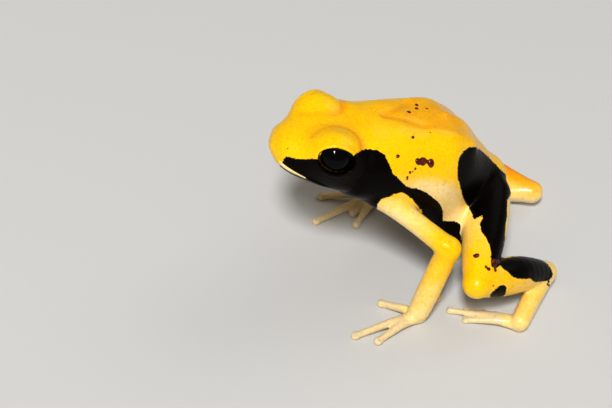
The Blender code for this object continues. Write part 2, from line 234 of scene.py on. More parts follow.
def ballLump(part, place, radii, blend, matrix=Matrix.Identity(4)):
    r = np.array(radii, float)
    inverse = matrix.inverted()
    centre = np.array(place, float)

    def distance(points):
        p = moved(points, inverse) - centre
        near = np.sqrt(((p / r) ** 2).sum(1))
        slope = np.sqrt(((p / r ** 2) ** 2).sum(1))
        return near * (near - 1) / np.maximum(slope, 1e-6)

    return makeLump(part, [matrix @ Vector(place)], max(radii), distance, blend)


def smoothPath(points, radii, count):
    # a Catmull-Rom line through the points, with the flesh's radius along it
    keys = np.array([list(p) + [r] for p, r in zip(points, radii)], float)
    padded = np.vstack([2 * keys[0] - keys[1], keys, 2 * keys[-1] - keys[-2]])
    out = []
    for t in np.linspace(0, len(keys) - 1, count):
        i = min(int(t), len(keys) - 2)
        out.append(curveBetween(*padded[i:i + 4], t - i))
    return np.array(out)


def tubeLump(part, points, radii, blend, count=13):
    path = smoothPath(points, radii, count)

    def distance(points):
        best = np.full(len(points), farAway)
        for a, b in zip(path, path[1:]):
            far, t = segmentDistance(points, a[:3], b[:3])
            best = np.minimum(best, np.sqrt(far) - (a[3] + t * (b[3] - a[3])))
        return best

    return makeLump(part, [Vector(p[:3]) for p in path], path[:, 3].max(), distance, blend)


def makeLump(part, corners, size, distance, blend):
    c = np.array([list(v) for v in corners])
    reach = size + flesh["reach"]
    return {"part": part, "low": c.min(0) - reach, "high": c.max(0) + reach,
            "distance": distance, "blend": blend}


def lerpPath(a, b, count):
    return [Vector(a).lerp(Vector(b), i / (count - 1)) for i in range(count)]


def digitLumps(part, side, root, tips, radius):
    lumps, form = [], digitForm
    for dx, dy in tips:
        tip = Vector((root.x + side * dx, root.y + dy, radius * form["tipHeight"]))
        start = Vector((root.x, root.y, form["rootHeight"]))
        bend = start.lerp(tip, form["bendAt"]) + Vector((0, 0, form["bendRise"]))
        near, far = start.lerp(bend, form["midway"]), bend.lerp(tip, form["midway"])
        widths = [radius * share for share in form["taper"]]
        lumps.append(tubeLump(part, (start, near, bend, far, tip), widths, flesh["digitBlend"], 11))
        disc = radius * form["disc"]
        lumps.append(ballLump(part, tip, (disc, disc, radius), flesh["digitBlend"] * 0.6))
    return lumps


limbs = {}
for side, arm, leg, fingers, toes in ((1, "leftArm", "leftLeg", "leftFingers", "leftToes"),
                                      (-1, "rightArm", "rightLeg", "rightFingers", "rightToes")):
    limbs[side] = {joint: onSide(place, side) for joint, place in {**pose[arm], **pose[leg]}.items()}
    limbs[side].update(fingers=pose[fingers], toes=pose[toes])


limbRuns = {
    "upperArm": ("arm_", "shoulder", "elbow", "shoulderBlend"),
    "forearm": ("arm_", "elbow", "wrist", "jointBlend"),
    "thigh": ("leg_", "hip", "knee", "hipBlend"),
    "shank": ("leg_", "knee", "ankle", "jointBlend"),
    "tarsus": ("leg_", "ankle", "heel", "jointBlend"),
}


def allLumps():
    lumps = [loftLump("trunk", flesh["trunk"], trunkFrame, 0.5, 2.0, 2.6),
             loftLump("head", flesh["skull"], headFrame, flesh["bodyBlend"], 1.0, 2.0)]
    for side in (1, -1):
        limb, word = limbs[side], sideWord[side]
        place = onSide(pose["eyePlace"], side)
        lumps.append(ballLump("head", place, flesh["brow"], flesh["browBlend"], headFrame))
        place, radii = flesh["belly"]
        lumps.append(ballLump("trunk", onSide(place, side), radii, flesh["bodyBlend"], trunkFrame))
        for run, (part, start, end, blend) in limbRuns.items():
            radii = flesh[run]
            path = lerpPath(limb[start], limb[end], len(radii))
            if side > 0 and run == "shank":
                path = [Vector(p) + Vector((0, 0, more)) for p, more in zip(path, flesh["leftCalf"])]
                radii = [r + more for r, more in zip(radii, flesh["leftCalf"])]
            lumps.append(tubeLump(part + word, path, radii, flesh[blend]))
        lumps += digitLumps("arm_" + word, side, limb["wrist"], limb["fingers"], flesh["fingerRadius"])
        lumps += digitLumps("leg_" + word, side, limb["heel"], limb["toes"], flesh["toeRadius"])
    return lumps


# The eye's opening, the lids, the mouth and the folds, cut into or laid on that flesh

face = {
    "opening": (2.6, 1.9),         # half length and half height of the eye's opening
    "openingEdge": 0.22,
    "openingFloor": 0.4,
    "lidStandOff": 0.42,           # from the eye's own surface
    "lidOval": (1.02, 1.1),        # the lids' line, as shares of the opening
    "upperLid": (0.34, 0.30),      # width, height of the lid's roll
    "lowerLid": (0.24, 0.22),
    "nostril": (3.2, -11.7, -0.75),
    "nostrilRadius": 0.22,
    "nostrilRim": (0.3, 0.12),
    "nostrilRimPlace": 1.7,        # of the nostril's radius
    "nostrilEdge": 0.12,
    "mouth": ((0.0, -13.3, -1.45), (1.6, -12.9, -1.55), (3.1, -11.9, -1.85), (4.2, -10.6, -2.05),
              (5.2, -8.9, -2.3), (6.2, -6.2, -2.9), (7.0, -3.2, -3.7), (7.3, -1.2, -4.5)),
    "mouthLine": (0.15, 0.34),     # half width, depth
    "lipRoll": (0.5, 0.2),
    "lipRollDrop": 0.5,            # below the mouth's line
    "paleLipDrop": 0.42,
    "paleLip": (0.3, 0.2),         # half width in front and behind
}


def bumpLine(points, places, width, height, matrix=Matrix.Identity(4)):
    # a soft ridge (height > 0) or groove (height < 0) along a line of places
    path = smoothPath([matrix @ Vector(p) for p in places], [0] * len(places), 8 * len(places))[:, :3]
    low, high = path.min(0) - 3 * width, path.max(0) + 3 * width
    chosen = within(points, low, high)
    best = np.full(len(chosen), veryFar)
    for a, b in zip(path, path[1:]):
        best = np.minimum(best, segmentDistance(points[chosen], a, b)[0])
    out = np.zeros(len(points))
    out[chosen] = height * np.exp(-best / width ** 2)
    return out


def eyeFrame(side):
    # columns: along the eye's opening, across it, and out along the eye's axis
    out = eyeAxis(side)
    upward = headFrame.to_3x3() @ Vector((0, 0, 1))
    across = (upward - out * upward.dot(out)).normalized()
    return axesFrame(across.cross(out), across, out, eyeCentre(side))


def lidRing(side, upper):
    # the rim of the opening as a line on a ball a little larger than the eye
    a, b = (half * share for half, share in zip(face["opening"], face["lidOval"]))
    radius = pose["eyeRadius"] + face["lidStandOff"]
    places = []
    for i in range(13):
        angle = math.pi * i / 12 * (1 if upper else -1)
        x, y = a * math.cos(angle), b * math.sin(angle)
        places.append((x, y, math.sqrt(max(radius ** 2 - x * x - y * y, 0.2))))
    return places


def relief(points):
    # what the lines of the face and the folds of the skin add to the flesh
    add = np.zeros(len(points))
    for side in (1, -1):
        eye = eyeFrame(side)
        for upper, key in ((True, "upperLid"), (False, "lowerLid")):
            width, height = face[key]
            add += bumpLine(points, lidRing(side, upper), width, height, eye)
        line = [(side * x, y, z) for x, y, z in face["mouth"]]
        width, depth = face["mouthLine"]
        add += bumpLine(points, line, width, -depth, headFrame)
        width, height = face["lipRoll"]
        lower = [(x * 1.01, y, z - face["lipRollDrop"]) for x, y, z in line]
        add += bumpLine(points, lower, width, height, headFrame)
        for name in folds:
            add += bumpLine(points, *foldLine(name, side))
    return add


folds = {
    # lines for the left side, mirrored for the right: frame, places, half width, height
    "browCrease": ("head", ((2.6, -8.6, 2.3), (1.8, -7.2, 2.9), (1.45, -5.4, 3.4), (1.8, -4.0, 3.7),
                            (2.8, -2.9, 3.9), (4.3, -2.4, 3.7), (5.7, -2.6, 3.0)), 0.6, -0.15),
    "earRing": ("head", ((7.2, -2.5, -1.2), (7.3, -2.1, -0.4), (7.3, -1.2, -0.1), (7.3, -0.4, -0.5),
                         (7.4, -0.1, -1.4), (7.3, -0.5, -2.2), (7.2, -1.3, -2.5), (7.1, -2.1, -2.2),
                         (7.2, -2.5, -1.2)), 0.3, -0.09),
    "scapula": ("trunk", ((3.6, -21.5, 6.6), (5.0, -17.5, 6.6), (5.4, -13.5, 6.3)), 1.9, 0.3),
    "backCrease": ("trunk", ((0.2, -22.9, 6.7), (1.1, -20.7, 7.1), (1.9, -19.2, 7.3), (2.6, -17.9, 7.4),
                             (3.2, -16.2, 7.4)), 0.6, -0.22),
    "backRidge": ("trunk", ((3.5, -16.4, 7.5), (4.0, -15.0, 7.2), (4.2, -13.0, 7.1), (4.1, -11.0, 6.8),
                            (3.9, -8.5, 6.2)), 1.1, 0.5),
    "wrinkle": ("trunk", ((8.1, -15.8, 3.2), (8.2, -14.4, 2.9), (8.1, -12.4, 2.6), (7.6, -10.4, 2.4)),
                0.22, -0.1),
    "spine": ("trunk", ((0.0, -12.5, 7.9), (0.0, -8.0, 6.6), (0.0, -3.0, 4.0)), 0.9, 0.16),
    "flankFold": ("trunk", ((8.0, -15.5, -1.5), (7.7, -11.0, -2.4), (6.9, -7.0, -3.2)), 0.5, -0.12),
    "elbowCrease": ("plan", ((14.4, -5.2, 14.2), (15.0, -4.6, 13.9), (15.3, -3.8, 13.4)), 0.22, -0.14),
    "armpit": ("trunk", ((7.6, -22.5, -2.0), (8.2, -20.0, -3.0), (8.2, -17.5, -4.6)), 0.45, -0.2),
    "throatFold": ("trunk", ((0.0, -27.6, -7.1), (3.5, -27.2, -6.2), (6.0, -26.4, -4.0)), 0.5, -0.16),
}


frames = {"head": headFrame, "trunk": trunkFrame, "plan": Matrix.Identity(4)}


def foldLine(name, side):
    frameName, line, width, height = folds[name]
    return [(side * x, y, z) for x, y, z in line], width, height, frames[frameName]


def carve(points, total):
    # openings for the eyes, the nostrils, and the flat soles
    for side in (1, -1):
        local = moved(points, eyeFrame(side).inverted())
        a, b = face["opening"]
        ratio = np.sqrt((local[:, 0] / a) ** 2 + (local[:, 1] / b) ** 2)
        tunnel = (ratio - 1) * min(a, b)
        tunnel = np.maximum(tunnel, face["openingFloor"] - local[:, 2])
        total = -smoothMin(-total, tunnel, face["openingEdge"])
        hole = headFrame @ onSide(face["nostril"], side)
        rim = np.sqrt(((points - np.array(hole)) ** 2).sum(1))
        width, height = face["nostrilRim"]
        radius = face["nostrilRadius"]
        total = total - height * np.exp(-((rim - radius * face["nostrilRimPlace"]) / width) ** 2 * 2)
        total = -smoothMin(-total, rim - radius, face["nostrilEdge"])
    return np.maximum(total, -points[:, 2])


lumpList = allLumps()
lumpGroups = {"body": [l for l in lumpList if l["part"] in ("trunk", "head")],
              "arm": [l for l in lumpList if l["part"].startswith("arm")],
              "leg": [l for l in lumpList if l["part"].startswith("leg")]}


def merged(points, total, lumps):
    for lump in lumps:
        chosen = within(points, lump["low"], lump["high"])
        d = np.minimum(lump["distance"](points[chosen]), farAway)
        total[chosen] = smoothMin(total[chosen], d, lump["blend"])
    return total


def fieldAt(points):
    # arms and legs each melt into the body, and only touch each other
    body = merged(points, np.full(len(points), farAway), lumpGroups["body"])
    withArms = merged(points, body.copy(), lumpGroups["arm"])
    total = np.minimum(withArms, merged(points, body, lumpGroups["leg"]))
    near = np.flatnonzero(np.abs(total) < mesher["reliefBand"])
    band = points[near]
    total[near] = carve(band, total[near] - relief(band))
    return total


def partOf(points):
    # which part each point belongs to: the one whose flesh comes closest
    best = np.full((len(partNames), len(points)), farAway)
    for lump in lumpList:
        row = partNames.index(lump["part"])
        chosen = within(points, lump["low"], lump["high"])
        best[row, chosen] = np.minimum(best[row, chosen], lump["distance"](points[chosen]))
    return best


# From the field to a mesh

mesher = {
    "cell": 0.44,
    "low": (-23.0, -28.5, -1.0),
    "high": (23.0, 26.0, 32.0),
    "reliefBand": 1.6,             # lines and folds reach this far from the flesh's surface
    "settle": 2,                   # rounds in which the points move onto the surface
    "longestMove": 0.25,
    "inset": 0.02,
    "probe": 0.02,
}
finerZones = {"head": 0.6, "neck": 0.5, "nearFloor": 3.2, "eyeRing": (2.9, 0.9), "mouth": 0.6}


def gridMesh():
    cell = mesher["cell"]
    low, high = np.array(mesher["low"]), np.array(mesher["high"])
    counts = np.ceil((high - low) / cell).astype(int) + 1
    axes = [low[i] + cell * np.arange(counts[i]) for i in range(3)]
    values = np.empty(counts, np.float32)
    for i, x in enumerate(axes[0]):        # one slice at a time keeps the memory small
        y, z = np.meshgrid(axes[1], axes[2], indexing="ij")
        slicePoints = np.stack([np.full(y.size, x), y.ravel(), z.ravel()], axis=1)
        values[i] = fieldAt(slicePoints).reshape(y.shape)
    grid = openvdb.FloatGrid(farAway)
    grid.copyFromArray(values)
    points, quads = grid.convertToQuads(isovalue=0.0)
    points = points.astype(float) * cell + low
    triangles = np.vstack([quads[:, [0, 1, 2]], quads[:, [0, 2, 3]]]).astype(int)
    return points, triangles


def gradient(points):
    g = np.empty_like(points)
    step = mesher["probe"]
    for axis in range(3):
        offset = np.zeros(3)
        offset[axis] = step
        g[:, axis] = (fieldAt(points + offset) - fieldAt(points - offset)) / (2 * step)
    return g


def settle(points):
    for _ in range(mesher["settle"]):
        value = fieldAt(points) + mesher["inset"]
        g = gradient(points)
        size = np.maximum((g ** 2).sum(1), 0.05)
        move = -(value / size)[:, None] * g
        length = np.sqrt((move ** 2).sum(1))
        move *= np.minimum(1.0, mesher["longestMove"] / np.maximum(length, 1e-9))[:, None]
        points = points + move
    return points


def refine(points, triangles, wanted):
    # splits every edge between two wanted points, and each triangle along its split edges
    edges = np.sort(np.vstack([triangles[:, [0, 1]], triangles[:, [1, 2]], triangles[:, [2, 0]]]), axis=1)
    unique, inverse = np.unique(edges, axis=0, return_inverse=True)
    inverse = inverse.reshape(3, -1).T
    split = wanted[unique[:, 0]] & wanted[unique[:, 1]]
    middle = np.full(len(unique), -1)
    middle[split] = len(points) + np.arange(split.sum())
    points = np.vstack([points, points[unique[split]].mean(1)])
    mids = middle[inverse]
    marks = mids >= 0
    count = marks.sum(1)
    out = [triangles[count == 0]]
    for turn in range(3):
        t = np.roll(triangles, -turn, axis=1)
        m = np.roll(mids, -turn, axis=1)
        k = np.roll(marks, -turn, axis=1)
        one = (count == 1) & k[:, 0]
        a, b, c = t[one].T
        p = m[one, 0]
        out += [np.stack([a, p, c], 1), np.stack([p, b, c], 1)]
        two = (count == 2) & k[:, 0] & k[:, 1]
        a, b, c = t[two].T
        p, q = m[two, 0], m[two, 1]
        out += [np.stack([p, b, q], 1), np.stack([a, p, q], 1), np.stack([a, q, c], 1)]
    full = count == 3
    a, b, c = triangles[full].T
    p, q, r = mids[full].T
    out += [np.stack(s, 1) for s in ((a, p, r), (p, b, q), (r, q, c), (p, q, r))]
    return points, np.vstack(out)


def skinMesh():
    # finer on the head and near the floor, and once more round the eyes and along the mouth
    points, triangles = gridMesh()
    points = settle(points)
    trunk, head = partOf(points)[:2]
    wanted = (head < finerZones["head"]) & (head <= trunk + finerZones["neck"])
    wanted |= points[:, 2] < finerZones["nearFloor"]
    points, triangles = refine(points, triangles, wanted)
    points = settle(points)
    wanted = mouthDistance(points, face["mouth"], 0.0, (0.0, 0.0)) < finerZones["mouth"]
    ring, half = finerZones["eyeRing"]
    for side in (1, -1):
        wanted |= np.abs(np.sqrt(((points - np.array(eyeCentre(side))) ** 2).sum(1)) - ring) < half
    points, triangles = refine(points, triangles, wanted)
    return settle(points), triangles


def mouthDistance(points, line, drop, widths):
    # to a line of the mouth on either side, less its half width, which changes from front to back
    best = np.full(len(points), veryFar)
    for side in (1, -1):
        keys = [headFrame @ Vector((side * x, y, z - drop)) for x, y, z in line]
        path = smoothPath(keys, [0] * len(keys), 40)[:, :3]
        for place, width in zip(path, np.linspace(*widths, len(path))):
            best = np.minimum(best, np.sqrt(((points - place) ** 2).sum(1)) - width)
    return best


def outward(points, triangles):
    a, b, c = (points[triangles[:, i]] for i in range(3))
    volume = np.einsum("ij,ij->i", a, np.cross(b, c)).sum()
    return triangles if volume > 0 else triangles[:, ::-1]


def linked(name, data):
    ob = bpy.data.objects.new(name, data)
    bpy.context.scene.collection.objects.link(ob)
    return ob


def meshObject(name, points, faces):
    mesh = bpy.data.meshes.new(name)
    mesh.from_pydata(((points * mm) + np.array(planShift)).tolist(), [], faces)
    mesh.update()
    mesh.shade_smooth()
    return linked(name, mesh)


skinPoints, skinFaces = skinMesh()
skinFaces = outward(skinPoints, skinFaces)
skin = meshObject("skin", skinPoints, skinFaces.tolist())
print("skin", len(skinPoints), "points", len(skinFaces), "triangles")


# The picture's camera, which also places the black patches: their outlines are held in its pixels

photoCamera = {
    "place": (181.328, -123.167, 187.702),
    "right": (0.40481055, 0.90715072, 0.11491728),
    "up": (-0.62317062, 0.18172361, 0.76068055),
    "forward": (-0.66916873, 0.37954459, -0.63887332),
    "focal": 1900.0,
    "middle": (306.0, 204.0),
    "sensor": 36.0,
    "away": 280.0,                 # to the frog
    "clipStart": 0.01,             # metres
}
pixelSize = photoCamera["away"] / photoCamera["focal"]         # millimetres at the frog's distance


def inPhoto(points):
    away = points - np.array(photoCamera["place"])
    right, up, forward = (away @ np.array(photoCamera[k]) for k in ("right", "up", "forward"))
    scale = photoCamera["focal"] / forward
    u, v = photoCamera["middle"]
    return np.stack([u + scale * right, v - scale * up], 1)


def roundedOutline(outline):
    # a closed Catmull-Rom line through the outline's corners
    keys = np.array(outline, float)
    four = [np.roll(keys, n, axis=0) for n in (1, 0, -1, -2)]
    return np.stack([curveBetween(*four, u) for u in (0.0, 0.34, 0.67)], 1).reshape(-1, 2)


def outlineDistance(places, outline):
    # millimetres to the outline, negative inside
    line = roundedOutline(outline)
    best = np.full(len(places), veryFar)
    inside = np.zeros(len(places), bool)
    for a, b in zip(line, np.roll(line, -1, axis=0)):
        best = np.minimum(best, segmentDistance(places, a, b)[0])
        across, down = b - a
        crosses = (a[1] > places[:, 1]) != (b[1] > places[:, 1])
        share = (places[:, 1] - a[1]) / (down if abs(down) > 1e-9 else 1e-9)
        inside ^= crosses & (places[:, 0] < a[0] + share * across)
    return np.where(inside, -1, 1) * np.sqrt(best) * pixelSize


patches = {
    "face": ((286, 157), (296, 158.5), (306, 159), (317, 159), (330, 163), (350, 158), (357, 153.5),
             (363, 150), (370, 149), (379, 151), (386, 157), (390, 166), (393, 173), (400, 180),
             (407, 187), (416, 188.5), (425, 192), (435, 199), (441, 206), (443, 214), (443, 221),
             (450, 221), (458, 222.5), (466, 228), (468, 236), (462, 260), (440, 300), (300, 300),
             (262, 215), (268, 185), (276, 171), (282, 163)),
    "rear": ((475, 147), (468, 148), (463, 152), (459.5, 158), (458, 166), (458, 177), (460, 187),
             (463, 197), (467, 205), (471, 211), (474, 219), (479, 217), (484, 215), (480, 224),
             (482, 233), (489, 243), (491, 255), (491, 266), (497, 268), (503, 262), (504, 250),
             (505.5, 226), (507, 213), (507.5, 200), (512, 193), (514.5, 186), (513, 181), (508, 177),
             (503, 172), (490, 159), (483, 152)),
    "shank": ((501, 259), (507, 257.5), (519, 256), (529, 256), (538, 258), (546, 263), (551.5, 269),
              (553, 276.5), (547, 280.5), (536, 282), (532, 280), (529, 278.5), (518.5, 279),
              (511.5, 275.7), (507, 271), (502, 267), (500.5, 263)),
    "arm": ((377, 207), (381, 200), (390, 196), (401, 192.5), (410, 197), (415.5, 203), (420, 209),
            (425, 213.5), (437, 222.5), (448, 230), (461, 239), (480, 260), (470, 310), (400, 345),
            (390, 330), (415, 262), (421, 254), (409, 243), (396, 232), (386, 222), (379, 214)),
    "kneeSpot": ((490, 295), (494.5, 290), (499.5, 286), (504, 285.3), (506.5, 289), (505, 294),
                 (500, 299), (492, 301)),
}
patchRules = {
    "shut": 9.0,                   # what closes a patch where it doesn't belong
    "armReach": 1.2,               # how far the arm's cream runs onto the body
    "armSlope": 1.5,
    "handTop": 10.0,
    "legEdge": 0.3,
    "hiddenFrom": 0.12,            # the hind side of a thigh, turned this far from the camera, is black
    "farTrim": 0.9,                # the rear patch is smaller on the far side
}


def boneFrame(start, end, other):
    along = (end - start).normalized()
    across = (other - start)
    across = (across - along * across.dot(along)).normalized()
    return axesFrame(along, across, along.cross(across), start)


def asLeft(points, matrix):
    # the far side's points, brought to the places of the near side's in the same frame
    local = moved(points, matrix.inverted())
    local[:, 0] = np.abs(local[:, 0])
    return moved(local, matrix)


def asLeftBone(points, start, end, other):
    right = boneFrame(*(limbs[-1][k] for k in (start, end, other)))
    left = boneFrame(*(limbs[1][k] for k in (start, end, other)))
    local = moved(points, right.inverted())
    stretch = (limbs[1][end] - limbs[1][start]).length / (limbs[-1][end] - limbs[-1][start]).length
    local *= (stretch, 1, -1)
    return moved(local, left)


def limbDistance(points, a, b):
    far, t = segmentDistance(points, np.array(a), np.array(b))
    return np.sqrt(far), t


def skinNormals():
    values = np.zeros(3 * len(skin.data.vertices))
    skin.data.vertices.foreach_get("normal", values)
    return values.reshape(-1, 3)


def blackDistance(points, normals, best):
    # millimetres to the nearest black patch's edge, negative inside it
    rules = patchRules
    shut = rules["shut"]
    trunk, head = best[:2]
    body = np.minimum(head, trunk)
    arms, legs = np.minimum(best[2], best[3]), np.minimum(best[4], best[5])
    near = np.where((head < trunk)[:, None], asLeft(points, headFrame), asLeft(points, trunkFrame))
    faceUv = inPhoto(near)
    rightArm = best[3] < best[2]
    farArm = inPhoto(asLeftBone(points, "shoulder", "elbow", "wrist"))
    armUv = np.where(rightArm[:, None], farArm, inPhoto(points))
    besideArm = rules["armSlope"] * (arms - body - rules["armReach"])
    limbLight = np.maximum(outlineDistance(armUv, patches["arm"]), besideArm)
    black = np.maximum(outlineDistance(faceUv, patches["face"]), -limbLight)
    offBody = (arms < body) & (points[:, 2] < rules["handTop"]) | (legs < body - rules["legEdge"])
    black = np.maximum(black, np.where(offBody, shut, -shut))
    legUv = inPhoto(points)
    rightLeg = best[5] < best[4]
    thigh, shank = ([limbDistance(points, limbs[s][start], limbs[s][end])[0] for s in (1, -1)]
                    for start, end in (("hip", "knee"), ("knee", "ankle")))
    farThigh = inPhoto(asLeftBone(points, "hip", "knee", "ankle"))
    farShank = inPhoto(asLeftBone(points, "knee", "ankle", "hip"))
    onLeg = legs < body
    thighUv = np.where(rightLeg[:, None], farThigh, legUv)
    shankUv = np.where(rightLeg[:, None], farShank, legUv)
    rearUv = np.where(onLeg[:, None], thighUv, inPhoto(asLeft(points, trunkFrame)))
    ahead = points + normals
    turnedTo = np.where((rightLeg & onLeg)[:, None], asLeftBone(ahead, "hip", "knee", "ankle")
                        - asLeftBone(points, "hip", "knee", "ankle"), normals)
    hidden = np.clip(turnedTo @ np.array(photoCamera["forward"]) - rules["hiddenFrom"], 0, 1) * shut
    nearThigh = np.where(rightLeg, thigh[1] < shank[1], thigh[0] < shank[0])
    gate = np.where(~onLeg | nearThigh, -shut, shut)
    rear = outlineDistance(rearUv, patches["rear"])
    rear = np.maximum(np.where(onLeg, rear - hidden, rear), gate)
    black = np.minimum(black, rear + rules["farTrim"] * (points[:, 0] < 0) * ~onLeg)
    gate = np.where(onLeg & ~nearThigh & ~rightLeg, -shut, shut)
    for name in ("shank", "kneeSpot"):
        black = np.minimum(black, np.maximum(outlineDistance(shankUv, patches[name]), gate))
    return black


def attribute(ob, name, values, kind="FLOAT"):
    a = ob.data.attributes.new(name, kind, "POINT")
    a.data.foreach_set("value" if kind == "FLOAT" else "vector", np.ravel(values).astype(np.float32))


tints = {
    # along each run of a limb, root, middle and tip: how cream, how orange; the orange is partly painted
    # shade, as on the shanks, and partly the limbs' own tone
    "upperArm": ((1.0, 0.7, 0.05), (0.0, 0.0, 0.12)),
    "forearm": ((0.05, 0.45, 0.75), (0.15, 0.0, 0.0)),
    "thigh": ((0.6, 0.6, 0.15), (0.0, 0.05, 0.05)),
    "shank": ((0.15, 0.4, 0.6), (0.1, 0.12, 0.05)),
    "tarsus": ((0.9, 0.6, 0.7), (0.0, 0.05, 0.0)),
    "digits": (0.7, 0.05, 0.95),   # how cream at the root, more per millimetre, and at most
    "digitsFrom": 2.6,             # from the wrist or heel, and from the floor
    "backShade": 0.4,
    # painted shade: how orange the flat of the back is painted
    "backSoft": 4.0,               # millimetres over which a patch of tint fades
    "flankSoft": 3.6,
    "flankTop": (0.5, 2.5),        # above the trunk's axis the cream fades from here, over this much
    "topside": 0.22,               # how much yellower a limb is above than below
    "stump": 0.7,                  # the same on the far shank, which the photo shows end on
    "near": 0.7,                   # millimetres over which two runs' tints mix
}
tintSpots = (
    # frame, place on the left, reach, how cream, how orange; the orange is painted shade between and behind
    # the brows, on the snout and on the back near the hips
    ("trunk", (8.2, -7.5, -6.5), (4.0, 5.0, 3.5), 1.2, 0.0),
    ("trunk", (3.0, -4.0, 4.0), (3.5, 6.0, 3.0), 0.0, 0.4),
    ("head", (0.4, -12.9, 1.4), (1.6, 1.6, 1.6), 0.0, 0.25),
    ("head", (1.0, -1.5, 3.8), (3.0, 3.0, 1.5), 0.0, 0.3),
    ("head", (1.4, -6.2, 3.4), (2.0, 4.5, 1.6), 0.0, 0.25),
    ("trunk", (4.0, -3.0, 3.5), (2.5, 5.0, 2.5), 0.0, 0.3),
)


tintPatches = {
    # painted shade, orange, on the flat of the back, and cream on the flank: outline in the photo's pixels
    "back": ((351, 100), (362, 95), (395, 92), (430, 92), (460, 106), (468, 122), (486, 148),
             (474, 143), (464, 138.5), (450, 137), (436, 134), (420, 131), (408, 129), (398, 125),
             (390, 121), (377, 115), (362, 108)),
    "flank": ((404, 181), (411, 174), (422, 168), (434, 167), (445, 171), (453, 178), (460, 190),
              (467, 206), (472, 232), (450, 240), (436, 212), (424, 196), (408, 189)),
}
# painted shade: how orange the creases of these folds are painted
creaseShade = {"browCrease": 0.5, "backCrease": 0.5, "wrinkle": 0.6, "elbowCrease": 1.0}


def patchAmount(spots, name, soft):
    # 1 well inside the outline, 0 well outside
    return np.clip(0.5 - outlineDistance(spots, tintPatches[name]) / soft, 0, 1)


def skinTints(points, best):
    weights = [np.exp(-np.minimum(best[0], best[1]) / tints["near"])]
    head, trunk = moved(points, headFrame.inverted()), moved(points, trunkFrame.inverted())
    cream, warm = np.zeros(len(points)), np.zeros(len(points))
    for frameName, place, reach, light, orange in tintSpots:
        local = (head if frameName == "head" else trunk) * 1.0
        local[:, 0] = np.abs(local[:, 0])
        amount = np.exp(-(((local - place) / np.array(reach)) ** 2).sum(1))
        cream = np.maximum(cream, light * amount)
        warm = np.maximum(warm, orange * amount)
    # painted shade, orange, along the creases of the folds
    for side in (1, -1):
        for name, amount in creaseShade.items():
            line, width, height, matrix = foldLine(name, side)
            warm = np.maximum(warm, bumpLine(points, line, width * 1.5, amount, matrix))
    spots = inPhoto(asLeft(points, trunkFrame))
    low, span = tints["flankTop"]
    onTop = np.clip((trunk[:, 2] - low) / span, 0, 1)
    # painted shade, orange, on the flat of the back above the trunk's axis
    warm = np.maximum(warm, tints["backShade"] * patchAmount(spots, "back", tints["backSoft"]) * onTop)
    cream = np.maximum(cream, patchAmount(spots, "flank", tints["flankSoft"]) * (1 - onTop))
    creams, warms = [cream], [warm]
    for side in (1, -1):
        limb = limbs[side]
        for run, (part, start, end, blend) in limbRuns.items():
            light, orange = tints[run]
            far, t = limbDistance(points, limb[start], limb[end])
            weights.append(np.exp(-np.maximum(far - flesh[run][2], -0.5) / tints["near"]))
            above = points[:, 2] - (limb[start].z + t * (limb[end].z - limb[start].z))
            stump = side < 0 and run == "shank"
            topside = tints["stump" if stump else "topside"] * np.clip(above / flesh[run][2], -1, 1)
            creams.append(np.clip(np.interp(t, (0, 0.5, 1), light) - topside, 0, 1))
            # on the far shank the top side is also painted orange: painted shade along its grazing edge
            warms.append(np.interp(t, (0, 0.5, 1), orange) + np.clip(topside, 0, 1) * stump)
        first, more, most = tints["digits"]
        edge = tints["digitsFrom"]
        for part, root in (("arm_", "wrist"), ("leg_", "heel")):
            row = best[partNames.index(part + sideWord[side])]
            far = np.sqrt(((points - np.array(limb[root])) ** 2).sum(1))
            onDigits = (far > edge) & (points[:, 2] < edge)
            weights.append(3 * onDigits * np.exp(-np.maximum(row, 0) / tints["near"]))
            creams.append(np.clip(first + (far - edge) * more, 0, most))
            warms.append(np.zeros(len(points)))
    weights = np.array(weights)
    weights /= weights.sum(0)
    pale = np.clip(weights[-1] + weights[-2] + weights[6] + weights[7], 0, 1)
    return (weights * np.array(creams)).sum(0), (weights * np.array(warms)).sum(0), pale


best = partOf(skinPoints)
creamTint, warmTint, paleTint = skinTints(skinPoints, best)
# the pale edge of the lower lip, which thins out towards the eye
lip = mouthDistance(skinPoints, face["mouth"][2:5], face["paleLipDrop"], face["paleLip"])
creamTint = np.maximum(creamTint, np.clip((0.3 - lip) / 0.2, 0, 1))
attribute(skin, "black", np.maximum(blackDistance(skinPoints, skinNormals(), best), -lip))
attribute(skin, "lip", lip)
attribute(skin, "cream", creamTint)
# the orange mix: painted shade in creases, in hollows, on the back and at the far shank's edge, with some of
# the limbs' own orange
attribute(skin, "warm", warmTint)
attribute(skin, "pale", paleTint)


# Shader values that add, multiply and compare like numbers

